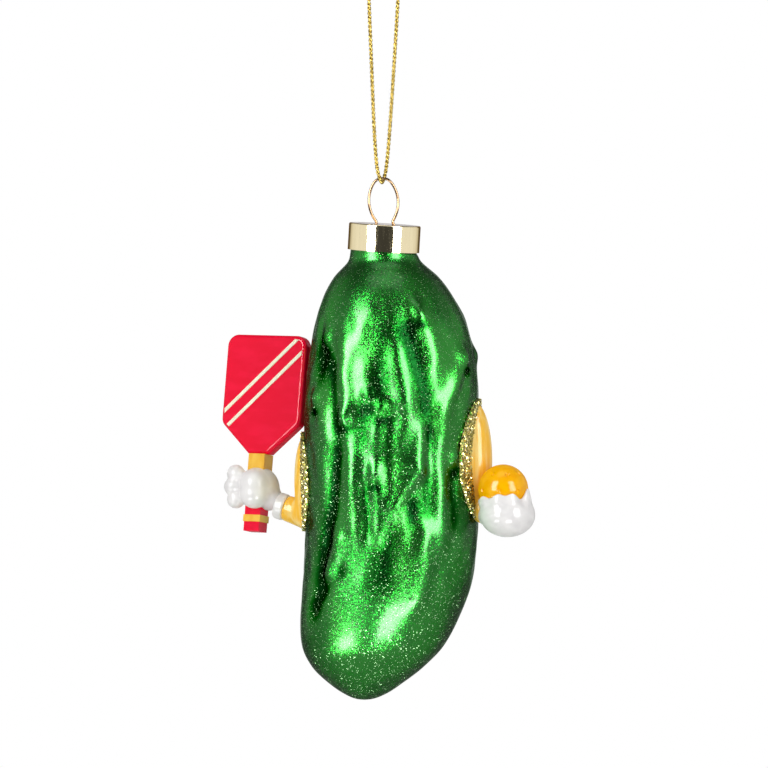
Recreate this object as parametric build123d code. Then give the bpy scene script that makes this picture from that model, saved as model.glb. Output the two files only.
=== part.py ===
from build123d import *
import os
from math import acos, cos, exp, pi, radians, sin, tan

# Blown glass pickle ornament with two resin arms, hung by a gold thread. Millimetres, +Z up.
# The origin is the point where the loop of thread bears on its hook, and the viewer stands at -Y.

# Thread loop
CORD_DIAMETER = 0.9
CORD_CLEARANCE = 0.15
ARC_SHARE = 0.45
TIGHT_ARC_SHARE = 0.48
KNOT_RADIUS = 1.3
KNOT_END_RADIUS = 0.8
TAIL_LENGTH = 3.6
TAIL_SPREAD = 24.0

# Wire hanger
WIRE_DIAMETER = 0.6
EYE_DROP = 46.7
EYE_WIDTH = 6.4
EYE_TOP_RADIUS = 2.35
EYE_TOP_SPAN = 56.0
EYE_WAIST = 4.1
EYE_ABOVE_CAP = 10.1
EYE_LEAN = 7.0
WAIST_RUN = 0.75
WAIST_BEND = 0.9
LEG_SPLAY = 30.0
LEG_BEND = 1.5
LEG_DEPTH = 15.0
LEG_CLEARANCE = 0.25

# Metal cap
CAP_DIAMETER = 15.8
CAP_HEIGHT = 5.9
CAP_WALL = 0.4
CAP_EDGE = 0.35
CAP_CLEARANCE = 0.3
SEAT_GAP = 0.05
SLOT_CLEARANCE = 0.2
NECK_LEAN = 3.3

# Glass pickle
PICKLE_LENGTH = 99.0
PICKLE_WIDTH = 38.0
PICKLE_DEPTH = 36.6
GLASS_WALL = 1.2
WART_RADIUS = 2.4
WART_RISE = 1.0

# Each measured section of the pickle: how far down its length, how far its middle lies to the side and
# how wide it is to each side of that middle, the last two as parts of the full width.
SECTIONS = [
    (0.026, 0.008, 0.217),
    (0.060, 0.018, 0.307),
    (0.100, 0.028, 0.373),
    (0.160, 0.043, 0.438),
    (0.290, 0.051, 0.497),
    (0.460, 0.034, 0.495),
    (0.615, 0.048, 0.500),
    (0.740, 0.022, 0.489),
    (0.820, -0.024, 0.458),
    (0.880, -0.062, 0.410),
    (0.925, -0.090, 0.326),
    (0.960, -0.103, 0.222),
    (0.985, -0.106, 0.128),
]
TIP_SIDE = -0.110

# Rings that the skin is drawn through: a few at the shoulder, even ones down the body, then closer and
# closer ones round the end. Each ring starts on the far side, clear of the arms and the warts.
SHOULDER_RINGS = (0.026, 0.060, 0.100)
BODY_RINGS = 24
BODY_END = 0.860
END_RINGS = 6
RING_POINTS = 72
SEAM_TURN = 120.0
FOOT_LEDGE = 0.05

# Each swell of the skin, repeated on the far side: degrees round from the viewer's side towards +X at its
# top and at its end, millimetres below the cap of its top and its end, its half width and its rise.
# A furrow has a negative rise.
SWELLS = [
    (-27, -24, 13, 17, 4.0, 1.00),
    (-36, -33, 21, 35, 2.2, 0.80),
    (-53, -50, 31, 52, 2.8, 0.50),
    (3, 10, 22, 30, 2.2, 0.60),
    (9, 8, 33, 46, 2.8, 0.50),
    (21, 21, 39, 46, 1.9, 0.75),
    (18, 3, 48, 55, 2.0, 0.80),
    (36, 34, 39, 60, 3.0, 0.70),
    (56, 39, 24, 33, 2.1, 0.65),
    (27, 31, 15, 22, 2.2, 0.55),
    (-10, -10, 38, 45, 1.8, 0.40),
    (-26, -25, 46, 60, 2.3, 0.80),
    (-9, -9, 53, 60, 2.0, 0.80),
    (-37, -44, 63, 70, 2.2, 0.75),
    (21, 23, 62, 75, 2.4, 0.85),
    (-12, -13, 21, 27, 4.0, -0.25),
    (12, 25, 18, 37, 2.8, -0.60),
    (1, 1, 37, 46, 2.2, -0.50),
    (-44, -39, 25, 37, 2.2, -0.65),
    (-38, -52, 45, 70, 2.2, -0.75),
    (28, 27, 40, 57, 1.9, -0.65),
    (-19, -18, 36, 46, 2.0, -0.35),
    (11, 17, 53, 60, 2.4, -0.60),
    (-58, -55, 22, 29, 2.4, -0.55),
    (-17, -16, 53, 60, 1.8, -0.60),
    (-3, -4, 58, 70, 2.6, -0.40),
    (-38, -56, 70, 77, 2.4, -0.55),
    (46, 45, 51, 58, 2.0, -0.50),
]
SWELL_FADE = 1.6
FAR_SIDE_DROP = 2.5

# Each wart: millimetres below the cap, and degrees round from the viewer's side towards +X.
WARTS = [
    (12.3, 23.5),
    (22.9, 61.0),
    (22.8, 92.0),
    (19.0, -55.0),
    (31.8, -61.0),
    (30.8, -16.5),
    (33.2, -7.5),
    (35.2, -32.0),
    (47.8, -9.5),
    (44.8, 48.5),
    (16.5, 150.0),
    (27.0, 205.0),
    (34.0, 165.0),
    (43.5, 222.0),
    (52.0, 140.0),
    (58.0, 190.0),
    (70.0, 160.0),
]

# Resin arms and their glitter trim
GLUE_LINE = 0.1
SLEEVE_RADIUS = 2.8
SLEEVE_ROOT = 3.3
SLEEVE_LENGTH = 8.0
CUFF_RADIUS = 2.95
CUFF_LENGTH = 2.2
CUFF_ROUNDING = 0.5
TRIM_RISE = 0.7
RESIN_GAP = 0.05

# Arm that holds the paddle: the wrist is placed from the shoulder, the fist from the cuff's end
PADDLE_ARM_DROP = 50.9
PADDLE_ARM_TURN = -98.0
PADDLE_ARM_LENGTH = 20.5
PADDLE_ARM_RADIUS = 2.4
PADDLE_TRIM_REACH = 6.0
PADDLE_WRIST_REACH = (-4.24, 3.18, -6.1)
PADDLE_WRIST_AIM = (-0.90, 0.32, 0.28)
FIST_REACH = (-5.41, 2.59, 3.68)

# Paddle, placed from the middle of the fist by the foot of its board
PADDLE_REACH = (1.8, 1.3, 7.25)
PADDLE_PITCH = 9.5
PADDLE_TURN = -28.0
BLADE_WIDTH = 19.9
BLADE_LENGTH = 26.5
BLADE_THICKNESS = 3.2
BLADE_CORNER = 2.6
BLADE_SHOULDER = 6.8
SHOULDER_CORNER = 2.4
BLADE_NECK = 5.2
BLADE_EDGE = 0.8
STRIPE_WIDTH = 0.75
STRIPE_RISE = 0.2
STRIPE_SLOPE = 44.0
STRIPE_HEIGHTS = (18.2, 13.9)
HANDLE_SIDE = 4.0
HANDLE_LENGTH = 8.0
GRIP_SIDE = 3.8
GRIP_LENGTH = 9.2
BAND_DROP = 5.6
BAND_WIDTH = 1.5
BAND_RISE = 0.2

# Fist: the place and radius of its palm, thumb, fingers and wrist as parts of the palm's radius
FIST_RADIUS = 4.7
FIST_LOBES = [
    (0.28, 0.00, 0.00, 1.00),
    (0.09, -0.49, 0.21, 0.72),
    (0.09, -0.49, -0.26, 0.72),
    (-0.79, -0.17, 0.66, 0.45),
    (-0.91, -0.17, 0.06, 0.47),
    (-0.79, -0.17, -0.55, 0.45),
    (0.77, -0.09, -0.47, 0.64),
]

# Arm that holds the ball: the wrist is placed from the shoulder, the palm from the cuff's end
BALL_ARM_DROP = 45.8
BALL_ARM_TURN = 81.0
BALL_ARM_LENGTH = 25.6
BALL_ARM_RADIUS = 4.1
BALL_TRIM_REACH = 4.2
BALL_WRIST_REACH = (2.92, -2.16, -11.33)
BALL_WRIST_AIM = (0.68, -0.66, -0.30)
PALM_REACH = (2.9, -3.14, 0.36)

# Ball and the hand that cups it
BALL_DIAMETER = 11.0
BALL_AIM = (-0.16, 0.18, 0.97)
PALM_FLOOR = 0.16
DIMPLE_RADIUS = 0.7
DIMPLE_DEPTH = 0.3
DIMPLES_IN_RING = 8
DIMPLE_RING_TILTS = (-40.0, 0.0, 40.0)
DIMPLE_STAGGER = 0.25
PALM_RADIUS = 6.1
PALM_HALF_HEIGHT = 4.9
FINGER_RADIUS = 2.3
FINGER_SEAT = 0.9
FINGERS = [(-38.0, -25.0), (-7.0, -15.0), (24.0, -15.0), (65.0, -15.0)]

cord_radius = CORD_DIAMETER / 2
wire_radius = WIRE_DIAMETER / 2
cap_radius = CAP_DIAMETER / 2
neck_radius = cap_radius - CAP_WALL - CAP_CLEARANCE
bore_radius = neck_radius - GLASS_WALL
ball_radius = BALL_DIAMETER / 2
depth_share = PICKLE_DEPTH / PICKLE_WIDTH
lower = (Align.CENTER, Align.CENTER, Align.MAX)
upper = (Align.CENTER, Align.CENTER, Align.MIN)

# Neck frame: its origin is the middle of the cap's top face, its +Z runs up the leaning neck.
eye_tilt = radians(EYE_LEAN - NECK_LEAN)
cap_top = Vector(EYE_ABOVE_CAP * sin(eye_tilt), 0, -EYE_DROP - EYE_ABOVE_CAP * cos(eye_tilt))
neck_up = Vector(sin(radians(NECK_LEAN)), 0, cos(radians(NECK_LEAN)))
neck = Plane(origin=cap_top, x_dir=(cos(radians(NECK_LEAN)), 0, -sin(radians(NECK_LEAN))), z_dir=neck_up)
foot = cap_top - neck_up * CAP_HEIGHT


def tube(path, radius):
    """Round bar of the given radius along a path of straight runs and tangent arcs."""
    return sweep(Plane(origin=path @ 0, z_dir=path % 0) * Circle(radius), path=path)


def egg(radius, half_height):
    """Closed egg about Z: half an ellipse turned once round its axis."""
    rim = EllipticalCenterArc((0, 0), radius, half_height, start_angle=-90, arc_size=180)
    return revolve(Plane.XZ * make_face(rim + Line(rim @ 1, rim @ 0)), Axis.Z)


# Thread: up out of the knot, over the hook, down in front of the wire, under it and back up.
beside_wire = wire_radius + cord_radius + CORD_CLEARANCE
under_wire = -EYE_DROP - beside_wire
CORD_POINTS = [
    (3.6, 0.0, -3.2),
    (3.6, 0.0, cord_radius),
    (-3.2, 0.0, cord_radius),
    (-2.42, -0.3, -18.9),
    (-1.43, -0.8, -43.6),
    (-0.25, -beside_wire, under_wire),
    (0.25, beside_wire, under_wire),
    (1.21, 0.8, -43.6),
    (2.86, 0.3, -18.9),
    (3.6, 0.0, -5.8),
]
OVER_HOOK = (1, 2)
UNDER_WIRE = (5, 6)


def run(index):
    """Straight run of the thread from one of its points to the next."""
    return Vector(CORD_POINTS[index + 1]) - Vector(CORD_POINTS[index])


def corner_radius(index):
    """Largest arc that both runs at a corner leave room for, or half the way round the hook or wire."""
    room = ARC_SHARE * min(run(index - 1).length, run(index).length)
    for pair in (OVER_HOOK, UNDER_WIRE):
        if index in pair:
            room = TIGHT_ARC_SHARE * run(pair[0]).length
    return room / tan(radians(run(index - 1).get_angle(run(index))) / 2)


def make_cord():
    """Loop of thread as one plain tube, from the top of the knot round to its underside."""
    radii = [corner_radius(index) for index in range(1, len(CORD_POINTS) - 1)]
    path = FilletPolyline(*CORD_POINTS, radius=radii)
    cord = tube(path, cord_radius)
    print("thread length", round(path.length, 2), "radii", [round(r, 1) for r in radii])
    print("thread volume over section times length", cord.volume / (pi * cord_radius**2 * path.length))
    return cord


def make_knot():
    """Barrel shaped knot between the thread's two ends, with its two tails standing out."""
    top = Vector(CORD_POINTS[0])
    half = (top.Z - CORD_POINTS[-1][2]) / 2
    outline = make_face(
        Line((0, half), (KNOT_END_RADIUS, half))
        + ThreePointArc((KNOT_END_RADIUS, half), (KNOT_RADIUS, 0), (KNOT_END_RADIUS, -half))
        + Line((KNOT_END_RADIUS, -half), (0, -half))
        + Line((0, -half), (0, half))
    )
    knot = revolve(Plane.XZ * outline, Axis.Z)
    tail = Cylinder(cord_radius, TAIL_LENGTH + KNOT_RADIUS, align=upper)
    for lift in (-TAIL_SPREAD, TAIL_SPREAD):
        knot += Rot(0, 90 - lift, 0) * tail
    return Pos(top.X, top.Y, top.Z - half) * knot


# Wire: heights are measured up from the cap's top face, sideways from the neck's axis.
top_span = radians(EYE_TOP_SPAN)
side_radius = (EYE_WIDTH / 2 - EYE_TOP_RADIUS * sin(top_span)) / (1 - sin(top_span))
side_middle_x = (EYE_TOP_RADIUS - side_radius) * sin(top_span)
side_middle_z = EYE_ABOVE_CAP - EYE_TOP_RADIUS + (EYE_TOP_RADIUS - side_radius) * cos(top_span)
waist_turn = acos((EYE_WAIST / 2 - side_middle_x) / side_radius)
waist_z = side_middle_z - side_radius * sin(waist_turn)
leg_root_x = EYE_WAIST / 2 - WAIST_RUN * sin(waist_turn)
leg_root_z = waist_z - WAIST_RUN * cos(waist_turn)
leg_x = bore_radius - wire_radius - LEG_CLEARANCE
leg_knee_z = leg_root_z - (leg_x - leg_root_x) / tan(radians(LEG_SPLAY))


def on_eye(side, x, z):
    """Point of the eye, which leans over the cap, at x to one side and z above the cap."""
    turn = radians(EYE_LEAN)
    x = side * x
    return (x * cos(turn) - z * sin(turn), 0, x * sin(turn) + z * cos(turn))


def side_arc_point(side, turn):
    """Point of the eye's long side arc at an angle above its widest place."""
    return on_eye(side, side_middle_x + side_radius * cos(turn), side_middle_z + side_radius * sin(turn))


def make_hanger_wire():
    """Wire bent into an eye, pinched at the waist, with two legs that splay out inside the neck."""
    joint_turn = pi / 2 - top_span
    left, right = (side_arc_point(side, joint_turn) for side in (-1, 1))
    pieces = [ThreePointArc(left, on_eye(1, 0, EYE_ABOVE_CAP), right)]
    for side in (-1, 1):
        waist = side_arc_point(side, -waist_turn)
        halfway = side_arc_point(side, (joint_turn - waist_turn) / 2)
        pieces.append(ThreePointArc(side_arc_point(side, joint_turn), halfway, waist))
        knee = (side * leg_x, 0, leg_knee_z)
        end = (side * leg_x, 0, -LEG_DEPTH)
        bends = (WAIST_BEND, LEG_BEND)
        pieces.append(FilletPolyline(waist, on_eye(side, leg_root_x, leg_root_z), knee, end, radius=bends))
    path = Wire([edge for piece in pieces for edge in piece.edges()])
    return neck * tube(path, wire_radius)


def make_cap():
    """Thin drawn cup, open below, with a slot on each side that the splayed legs can pass."""
    cup = Pos(0, 0, -CAP_HEIGHT / 2) * Cylinder(cap_radius, CAP_HEIGHT)
    cup = fillet(cup.edges().sort_by(Axis.Z)[-1], CAP_EDGE)
    cup -= Pos(0, 0, -CAP_WALL) * Cylinder(cap_radius - CAP_WALL, CAP_HEIGHT, align=lower)
    slot_width = WIRE_DIAMETER + 2 * SLOT_CLEARANCE
    slot_inner = leg_root_x - wire_radius - SLOT_CLEARANCE
    slot_outer = leg_x + wire_radius + SLOT_CLEARANCE
    slot = extrude(SlotOverall(slot_outer - slot_inner, slot_width), amount=2 * CAP_WALL, both=True)
    for side in (-1, 1):
        cup -= Pos(side * (slot_inner + slot_outer) / 2, 0, 0) * slot
    return neck * cup


# Measured sections with the foot of the neck and the tip, and the shares of the length that get a ring
body_rows = [(0.0, 0.0, neck_radius / PICKLE_WIDTH)] + SECTIONS + [(1.0, TIP_SIDE, 0.0)]
row_shares = [row[0] for row in body_rows]
row_sides = [row[1] for row in body_rows]
row_squares = [row[2] ** 2 for row in body_rows]
body_step = (BODY_END - SHOULDER_RINGS[-1]) / BODY_RINGS
ring_shares = list(SHOULDER_RINGS)
ring_shares += [SHOULDER_RINGS[-1] + body_step * (index + 1) for index in range(BODY_RINGS)]
ring_shares += [
    BODY_END + (1 - BODY_END) * sin(pi / 2 * (index + 1) / (END_RINGS + 1)) for index in range(END_RINGS)
]
ring_steps = [index / RING_POINTS for index in range(RING_POINTS + 1)]
ring_turns = [SEAM_TURN + 360 * step for step in ring_steps[:-1]]


def slope(values, index):
    """Slope of a row of values at a measured section, from its neighbours on each side."""
    low = max(index - 1, 0)
    high = min(index + 1, len(values) - 1)
    return (values[high] - values[low]) / (row_shares[high] - row_shares[low])


def between(values, share):
    """Value at any share of the length, on a cubic curve through the measured sections."""
    index = max(i for i in range(len(row_shares) - 1) if row_shares[i] <= share)
    width = row_shares[index + 1] - row_shares[index]
    t = (share - row_shares[index]) / width
    ends = values[index] * (2 * t**3 - 3 * t**2 + 1) + values[index + 1] * (3 * t**2 - 2 * t**3)
    bows = slope(values, index) * (t**3 - 2 * t**2 + t) + slope(values, index + 1) * (t**3 - t**2)
    return ends + width * bows


def swell_rise(drop, turn, radius, swell):
    """Rise of one swell at a place: a bell across it that fades beyond its top and its end."""
    top_turn, end_turn, top, end, half_width, rise = swell
    along = min(max((drop - top) / (end - top), 0), 1)
    off = (turn - top_turn - (end_turn - top_turn) * along + 180) % 360 - 180
    across = radians(off) * radius / half_width
    beyond = max(top - drop, drop - end, 0) / (SWELL_FADE * half_width)
    return rise * exp(-(across**2)) * exp(-(beyond**2))


def relief(drop, turn, radius):
    """All swells and furrows at a place, with their turned copies on the far side."""
    total = 0
    for top_turn, end_turn, top, end, half_width, rise in SWELLS:
        far = (180 - top_turn, 180 - end_turn, top + FAR_SIDE_DROP, end + FAR_SIDE_DROP, half_width, rise)
        total += swell_rise(drop, turn, radius, (top_turn, end_turn, top, end, half_width, rise))
        total += swell_rise(drop, turn, radius, far)
    return total


def ring_face(reaches, squash):
    """Face inside a smooth closed line, with one reach for each of its turns and its depth squashed."""
    points = []
    for reach, turn in zip(reaches, ring_turns):
        points.append((reach * sin(radians(turn)), -reach * cos(radians(turn)) * squash, 0))
    return make_face(Edge.make_spline(points, periodic=True, parameters=ring_steps))


def skin_ring(share, grow, swollen):
    """Ring of the skin at a share of the length, grown to the sides."""
    half = between(row_squares, share) ** 0.5 * PICKLE_WIDTH
    reaches = [half + grow] * RING_POINTS
    if swollen:
        reaches = [half + grow + relief(share * PICKLE_LENGTH, turn, half) for turn in ring_turns]
    middle_x = foot.X + between(row_sides, share) * PICKLE_WIDTH
    return Pos(middle_x, 0, foot.Z - share * (PICKLE_LENGTH + grow)) * ring_face(reaches, depth_share)


def pickle_form(grow, swollen=True):
    """Solid pickle below the cap, every ring grown to the sides and the tip grown downwards."""
    foot_ring = ring_face([neck_radius + FOOT_LEDGE + grow] * RING_POINTS, 1)
    rings = [Plane(origin=foot, x_dir=neck.x_dir, z_dir=neck_up) * foot_ring]
    rings += [skin_ring(share, grow, swollen) for share in ring_shares]
    tip = Vertex(foot.X + TIP_SIDE * PICKLE_WIDTH, 0, foot.Z - PICKLE_LENGTH - grow)
    return loft(rings + [tip])


pickle_skin = pickle_form(0)


def skin_point(drop, turn):
    """Point of the pickle's skin and its outward normal, a drop below the cap and a turn round it."""
    away = Vector(sin(radians(turn)), -cos(radians(turn)), 0)
    ray = Axis((foot.X, 0, foot.Z - drop), away)
    hits = pickle_skin.find_intersection_points(ray)
    point, normal = max(hits, key=lambda hit: (hit[0] - ray.position).dot(away))
    return point, normal if normal.dot(away) > 0 else -normal


def wart_balls(grow):
    """Ball under the skin for each wart, so that only its low crown stands out."""
    balls = []
    for drop, turn in WARTS:
        point, normal = skin_point(drop, turn)
        middle = point - normal * (WART_RADIUS - WART_RISE)
        balls.append(Pos(middle) * Sphere(WART_RADIUS + grow))
    return balls


def bottle(form, radius):
    """Form of the pickle with the straight neck that stands on it, from the foot to the rim."""
    rim = CAP_WALL + SEAT_GAP
    return form + neck * Pos(0, 0, -rim) * Cylinder(radius, CAP_HEIGHT - rim, align=lower)


def make_pickle():
    """Hollow glass pickle with warts, and the open neck that the cap sits on."""
    shell = bottle(pickle_skin, neck_radius) + wart_balls(0)
    return shell - bottle(pickle_form(-GLASS_WALL, swollen=False), bore_radius)


def aimed(place, aim):
    """Frame at a place with its +Z along the aim."""
    return Plane(origin=place, z_dir=aim)


glued_skin = pickle_form(GLUE_LINE) + wart_balls(GLUE_LINE)
trimmed_skin = pickle_form(TRIM_RISE)


def arm_form(shoulder, radius, length, wrist, aim, grow):
    """Almond shaped upper arm on the skin, with a tapered sleeve that ends flat at the wrist."""
    arm = Pos(shoulder) * egg(radius + grow, length / 2 + grow)
    sleeve = Cone(SLEEVE_ROOT + grow, SLEEVE_RADIUS + grow, SLEEVE_LENGTH, align=lower)
    return arm + aimed(wrist, aim) * sleeve


def make_trim(shoulder, radius, length, arm):
    """Raised bead of glitter on the glass round the foot of an arm."""
    patch = Pos(shoulder) * egg(radius, length / 2 + TRIM_RISE)
    return patch & trimmed_skin - glued_skin - arm


def make_cuff(wrist, aim):
    """Rounded cuff that stands on the flat end of the sleeve."""
    ring = Cylinder(CUFF_RADIUS, CUFF_LENGTH, align=upper)
    ring = fillet(ring.edges().filter_by(GeomType.CIRCLE), CUFF_ROUNDING)
    return aimed(wrist, aim) * ring


def wrist_room(wrist, aim):
    """Space of the sleeve and cuff, which the hand leaves free."""
    room = CUFF_LENGTH + SLEEVE_LENGTH
    block = Cylinder(CUFF_RADIUS + RESIN_GAP, room, align=lower)
    return aimed(wrist, aim) * Pos(0, 0, CUFF_LENGTH) * block


paddle_shoulder, _ = skin_point(PADDLE_ARM_DROP, PADDLE_ARM_TURN)
paddle_aim = Vector(*PADDLE_WRIST_AIM).normalized()
paddle_wrist = paddle_shoulder + Vector(*PADDLE_WRIST_REACH)
fist_place = paddle_wrist + paddle_aim * CUFF_LENGTH + Vector(*FIST_REACH)
paddle = Pos(fist_place + Vector(*PADDLE_REACH)) * Rot(0, 0, PADDLE_TURN) * Rot(-PADDLE_PITCH, 0, 0)

ball_shoulder, _ = skin_point(BALL_ARM_DROP, BALL_ARM_TURN)
ball_aim = Vector(*BALL_WRIST_AIM).normalized()
ball_wrist = ball_shoulder + Vector(*BALL_WRIST_REACH)
palm_place = ball_wrist + ball_aim * CUFF_LENGTH + Vector(*PALM_REACH)
ball_place = palm_place + Vector(*BALL_AIM).normalized() * (ball_radius + PALM_FLOOR)
ball_room = Pos(ball_place) * Sphere(ball_radius + RESIN_GAP)


def board_face():
    """Outline of the board: a rounded rectangle that narrows to the handle."""
    half = BLADE_WIDTH / 2
    neck_half = BLADE_NECK / 2
    corners = [
        (neck_half, 0),
        (half, BLADE_SHOULDER),
        (half, BLADE_LENGTH),
        (-half, BLADE_LENGTH),
        (-half, BLADE_SHOULDER),
        (-neck_half, 0),
    ]
    face = make_face(Polyline(*corners, close=True))
    face = fillet(face.vertices().group_by(Axis.Y)[-1], BLADE_CORNER)
    return fillet(face.vertices().group_by(Axis.Y)[1], SHOULDER_CORNER)


def make_blade():
    """Paddle board with softened edges."""
    board = extrude(Plane.XZ * board_face(), amount=BLADE_THICKNESS / 2, both=True)
    rims = board.faces().sort_by(Axis.Y)
    board = fillet(rims[0].edges() + rims[-1].edges(), BLADE_EDGE)
    return paddle * board


def make_stripes():
    """Raised stripes that slant across the flat of the board's front from edge to edge."""
    flat = offset(board_face(), -BLADE_EDGE)
    front = Plane.XZ.offset(BLADE_THICKNESS / 2)
    stripes = []
    for height in STRIPE_HEIGHTS:
        band = Pos(0, height) * Rot(0, 0, STRIPE_SLOPE) * Rectangle(2 * BLADE_LENGTH, STRIPE_WIDTH)
        stripes.append(extrude(front * (band & flat), amount=STRIPE_RISE).solid())
    return paddle * Compound(stripes)


def make_handle():
    """Square yellow handle below the board."""
    return paddle * Box(HANDLE_SIDE, HANDLE_SIDE, HANDLE_LENGTH, align=lower)


def make_grip():
    """Square red end of the handle."""
    return paddle * Pos(0, 0, -HANDLE_LENGTH) * Box(GRIP_SIDE, GRIP_SIDE, GRIP_LENGTH, align=lower)


def make_grip_band():
    """Band that goes once round the red end."""
    ring_side = GRIP_SIDE + 2 * BAND_RISE
    ring = Box(ring_side, ring_side, BAND_WIDTH, align=lower)
    ring -= Box(GRIP_SIDE, GRIP_SIDE, BAND_WIDTH, align=lower)
    return paddle * Pos(0, 0, -HANDLE_LENGTH - BAND_DROP) * ring


def make_fist():
    """Closed hand: a palm, a thumb and three fingers run together round the handle."""
    lobes = []
    for x, y, z, size in FIST_LOBES:
        place = fist_place + Vector(x, y, z) * FIST_RADIUS
        lobes.append(Pos(place) * Sphere(size * FIST_RADIUS))
    hole_side = max(HANDLE_SIDE, GRIP_SIDE) + 2 * RESIN_GAP
    hole = paddle * Box(hole_side, hole_side, HANDLE_LENGTH + GRIP_LENGTH, align=lower)
    return lobes[0] + lobes[1:] - hole - wrist_room(paddle_wrist, paddle_aim)


def make_ball():
    """Small ball with rings of shallow dimples."""
    ball = Sphere(ball_radius)
    out = ball_radius + DIMPLE_RADIUS - DIMPLE_DEPTH
    dents = []
    for row, tilt in enumerate(DIMPLE_RING_TILTS):
        for step in range(DIMPLES_IN_RING):
            turn = (step + row / 2 + DIMPLE_STAGGER) * 360 / DIMPLES_IN_RING
            dents.append(Rot(0, 0, turn) * Rot(0, tilt, 0) * Pos(out, 0, 0) * Sphere(DIMPLE_RADIUS))
    return Pos(ball_place) * (ball - dents)


def make_ball_glove():
    """Cupped hand: a broad palm under the ball and four finger ends up its near side."""
    hand = Pos(palm_place) * egg(PALM_RADIUS, PALM_HALF_HEIGHT)
    finger = Pos(0, -ball_radius - FINGER_SEAT, 0) * Sphere(FINGER_RADIUS)
    for turn, lift in FINGERS:
        hand += Pos(ball_place) * Rot(0, 0, turn) * Rot(-lift, 0, 0) * finger
    return hand - ball_room - wrist_room(ball_wrist, ball_aim)


paddle_arm_sizes = (paddle_shoulder, PADDLE_ARM_RADIUS, PADDLE_ARM_LENGTH, paddle_wrist, paddle_aim)
paddle_trim_sizes = (paddle_shoulder, PADDLE_ARM_RADIUS + PADDLE_TRIM_REACH, PADDLE_ARM_LENGTH)
ball_arm_sizes = (ball_shoulder, BALL_ARM_RADIUS, BALL_ARM_LENGTH, ball_wrist, ball_aim)
ball_trim_sizes = (ball_shoulder, BALL_ARM_RADIUS + BALL_TRIM_REACH, BALL_ARM_LENGTH)

nodes = {
    "hanging_cord": make_cord(),
    "cord_knot": make_knot(),
    "hanger_wire": make_hanger_wire(),
    "cap": make_cap(),
    "pickle_glass": make_pickle(),
    "paddle_arm": arm_form(*paddle_arm_sizes, 0) - glued_skin,
    "paddle_arm_trim": make_trim(*paddle_trim_sizes, arm_form(*paddle_arm_sizes, RESIN_GAP)),
    "paddle_cuff": make_cuff(paddle_wrist, paddle_aim),
    "paddle_glove": make_fist(),
    "paddle_blade": make_blade(),
    "paddle_stripes": make_stripes(),
    "paddle_handle": make_handle(),
    "paddle_grip": make_grip(),
    "paddle_grip_band": make_grip_band(),
    "ball_arm": arm_form(*ball_arm_sizes, 0) - glued_skin - ball_room,
    "ball_arm_trim": make_trim(*ball_trim_sizes, arm_form(*ball_arm_sizes, RESIN_GAP)),
    "ball_cuff": make_cuff(ball_wrist, ball_aim) - ball_room,
    "ball_glove": make_ball_glove(),
    "ball": make_ball(),
}

os.makedirs("parts", exist_ok=True)
for name, piece in nodes.items():
    export_step(piece, f"parts/{name}.step")
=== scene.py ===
# %% [markdown]
# A glass pickle that hangs by a gold thread
#
# The real thing is a hollow, silvered glass pickle with green lacquer and fine glitter on it. A wire eye in a
# gold cap holds it, two painted resin arms are glued to its sides, and the hands hold a paddle and a ball.
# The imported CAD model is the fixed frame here. Hard, plain pieces such as the cap, the wire, the paddle and
# the ball keep their CAD shape and get a finish. The glass, the arms, the gloves, the glitter and the thread
# are modelled again, because their charm is in soft swells and fine grain.

# %% The frame
from math import cos, pi, radians, sin

import bpy
import numpy as np
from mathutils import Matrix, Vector


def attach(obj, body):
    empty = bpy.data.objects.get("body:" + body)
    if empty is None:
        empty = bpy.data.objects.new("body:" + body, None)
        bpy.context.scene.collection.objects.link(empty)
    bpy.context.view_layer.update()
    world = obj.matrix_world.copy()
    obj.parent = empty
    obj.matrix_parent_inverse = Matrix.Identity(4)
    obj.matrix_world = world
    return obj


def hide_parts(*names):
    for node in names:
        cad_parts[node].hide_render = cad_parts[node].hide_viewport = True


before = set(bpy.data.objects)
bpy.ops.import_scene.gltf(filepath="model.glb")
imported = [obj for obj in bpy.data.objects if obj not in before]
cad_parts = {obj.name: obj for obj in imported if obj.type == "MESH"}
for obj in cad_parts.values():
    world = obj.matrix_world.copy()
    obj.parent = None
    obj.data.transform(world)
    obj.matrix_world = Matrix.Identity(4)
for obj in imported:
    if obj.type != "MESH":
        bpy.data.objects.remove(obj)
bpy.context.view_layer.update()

MM = 0.001

# %% [markdown]
# The camera
#
# The photograph was taken with a long lens from just above the cap: the cap's lower edge bows down a little.
# A long lens far away keeps the sizes of near and far pieces alike, so the camera stands well back.

# %% The camera
PICTURE_CENTRE = (0.44, 0.0, -91.96)
PICTURE_WIDTH = 168.96
CAMERA_DISTANCE = 1600.0
CAMERA_RISE = 3.0

rise = radians(CAMERA_RISE)
target = Vector(PICTURE_CENTRE) * MM
view_point = target + Vector((0.0, -cos(rise), sin(rise))) * CAMERA_DISTANCE * MM
lens = bpy.data.cameras.new("camera")
lens.lens = lens.sensor_width * CAMERA_DISTANCE / PICTURE_WIDTH
camera = bpy.data.objects.new("camera", lens)
camera.location = view_point
camera.rotation_euler = (target - view_point).to_track_quat("-Z", "Y").to_euler()
bpy.context.scene.collection.objects.link(camera)
bpy.context.scene.camera = camera
print("lens", round(lens.lens), "mm")

# %% [markdown]
# Meshes from grids of points
#
# Every new piece is a grid of points: rows along the piece and columns round it. One helper turns such a grid
# into a mesh, joins the last column to the first, and closes both ends with a single point.


# %% Grid to mesh
def new_piece(name, points, faces):
    """An object at the origin from points in millimetres and a list of faces."""
    mesh = bpy.data.meshes.new(name)
    mesh.from_pydata((points * MM).tolist(), [], faces)
    mesh.shade_smooth()
    mesh.update()
    piece = bpy.data.objects.new(name, mesh)
    bpy.context.scene.collection.objects.link(piece)
    return piece


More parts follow.
